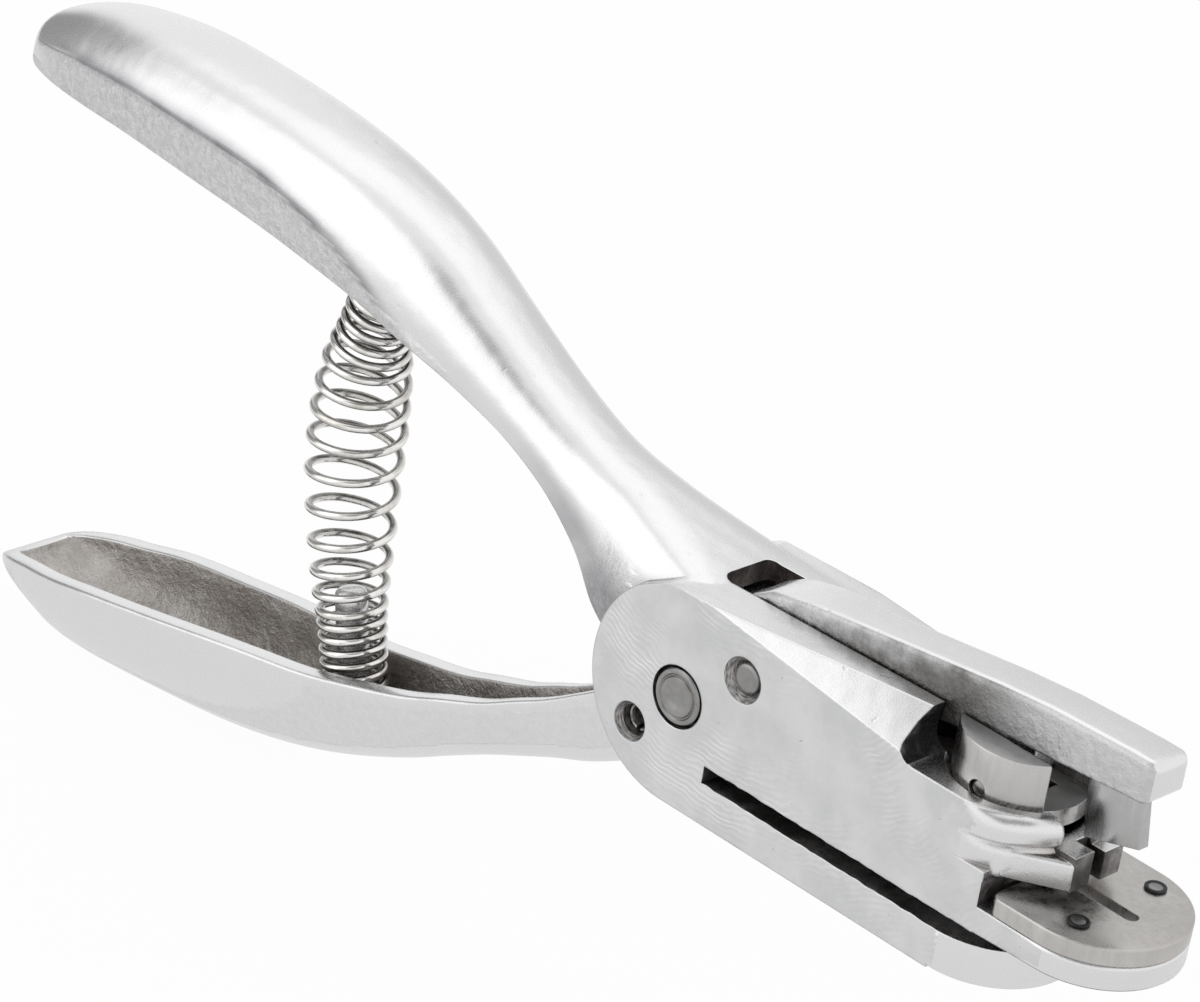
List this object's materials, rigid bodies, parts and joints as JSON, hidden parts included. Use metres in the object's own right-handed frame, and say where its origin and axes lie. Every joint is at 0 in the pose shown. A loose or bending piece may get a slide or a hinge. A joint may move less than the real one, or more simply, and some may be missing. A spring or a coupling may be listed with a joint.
{
  "type": "double punch pliers",
  "caption": "Hand punch pliers with cast frame and lever: a round hole punch over a long side slot and a slot blade over a riveted die plate.",
  "frame": {"origin": "middle of the bounding box in X and Y, at its lowest point", "axes": "+X from the handles to the jaw, +Y from the near flat side of the head to the far one, +Z from the lower handle to the upper handle"},
  "size_m": [0.1562, 0.017, 0.07],
  "materials": {
    "cast_alloy": "tumbled bright cast alloy, machined on the flat sides of the head",
    "pin_steel": "turned steel",
    "tool_steel": "ground steel",
    "plate_steel": "brushed steel, slightly brown",
    "black_steel": "blackened steel",
    "nickel_wire": "bright nickel-plated spring wire"
  },
  "bodies": {
    "frame": {"frame_casting": "cast_alloy", "die_plate": "plate_steel", "die_plate_rivets": "black_steel", "hole_die_bush": "tool_steel", "pivot_rivet": "pin_steel", "closing_stop_pin": "pin_steel", "opening_stop_pin": "pin_steel", "return_spring": "nickel_wire"},
    "lever": {"lever_casting": "cast_alloy", "slot_blade": "tool_steel"},
    "round_punch": {"hole_punch": "tool_steel", "punch_cross_pin": "pin_steel"}
  },
  "joints": [
    {"name": "squeeze", "type": "hinge", "parent": "frame", "child": "lever", "pos_m": [0.02515, 0, 0.038], "axis": [0, 1, 0], "range_deg": [0, 8.6], "stiffness_Nm_per_rad": 2.4, "springref_deg": -6.88, "deforming": ["return_spring"]},
    {"name": "punch_stroke", "type": "slide", "parent": "frame", "child": "round_punch", "axis": [0, 0, -1], "range_m": [0, 0.0052]}
  ],
  "couplings": [
    {"joint": "punch_stroke", "follows": "squeeze", "m_per_rad": 0.033891}
  ]
}
